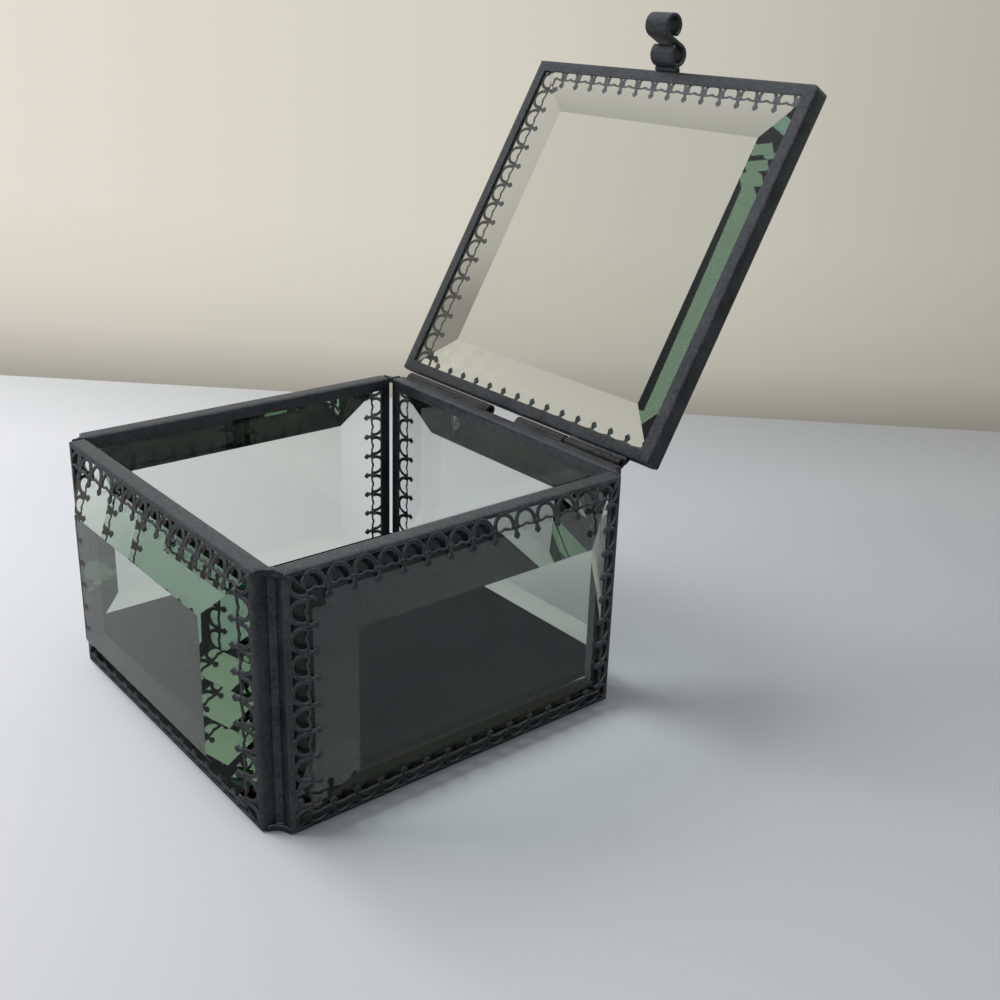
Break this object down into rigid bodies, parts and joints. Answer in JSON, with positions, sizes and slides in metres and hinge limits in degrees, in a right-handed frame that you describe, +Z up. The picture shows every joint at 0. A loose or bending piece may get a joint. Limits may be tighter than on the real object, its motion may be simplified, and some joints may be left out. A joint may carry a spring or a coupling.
{
  "type": "glass casket box",
  "caption": "Square keepsake box of bevelled glass plates in dark metal channels with a pierced filigree edge, dark lined base and a hinged glass lid with a bent scroll.",
  "frame": {"origin": "The middle of the underside, on the surface the box stands on.", "axes": "+Z up, +X to the right along the hinge, the front faces -Y and the hinge is at +Y."},
  "size_m": [0.1108, 0.1642, 0.1636],
  "materials": {
    "patinated_channel": "Brass filigree strip with a dark pewter-grey patina, worn paler along the folds.",
    "solder": "Tin-lead solder darkened with the same patina, a little shinier and lumpy.",
    "bevelled_glass": "Clear float glass with a faint green cast, ground and polished bevels.",
    "velvet": "Matte black short-pile velvet over a firm pad.",
    "base_board": "Matte black board."
  },
  "bodies": {
    "box": {"front_glass": "bevelled_glass", "right_glass": "bevelled_glass", "back_glass": "bevelled_glass", "left_glass": "bevelled_glass", "front_wall_bottom_channel": "patinated_channel", "front_wall_right_channel": "patinated_channel", "front_wall_top_channel": "patinated_channel", "front_wall_left_channel": "patinated_channel", "right_wall_bottom_channel": "patinated_channel", "right_wall_right_channel": "patinated_channel", "right_wall_top_channel": "patinated_channel", "right_wall_left_channel": "patinated_channel", "back_wall_bottom_channel": "patinated_channel", "back_wall_right_channel": "patinated_channel", "back_wall_top_channel": "patinated_channel", "back_wall_left_channel": "patinated_channel", "left_wall_bottom_channel": "patinated_channel", "left_wall_right_channel": "patinated_channel", "left_wall_top_channel": "patinated_channel", "left_wall_left_channel": "patinated_channel", "base_panel": "base_board", "base_lining": "velvet", "front_right_corner_solder": "solder", "back_right_corner_solder": "solder", "back_left_corner_solder": "solder", "front_left_corner_solder": "solder", "hinge_left_tube": "patinated_channel", "hinge_right_tube": "patinated_channel", "hinge_tube_solder": "solder", "hinge_pin": "patinated_channel"},
    "lid": {"lid_glass": "bevelled_glass", "lid_front_channel": "patinated_channel", "lid_right_channel": "patinated_channel", "lid_back_channel": "patinated_channel", "lid_left_channel": "patinated_channel", "lid_corner_solder": "solder", "lid_hinge_tube": "patinated_channel", "lid_hinge_solder": "solder", "lid_scroll": "patinated_channel", "scroll_solder": "solder"}
  },
  "joints": [
    {"name": "lid_hinge", "type": "hinge", "parent": "box", "child": "lid", "pos_m": [0.0336, 0.05205, 0.0605], "axis": [1, 0, 0], "range_deg": [0, 120]}
  ]
}
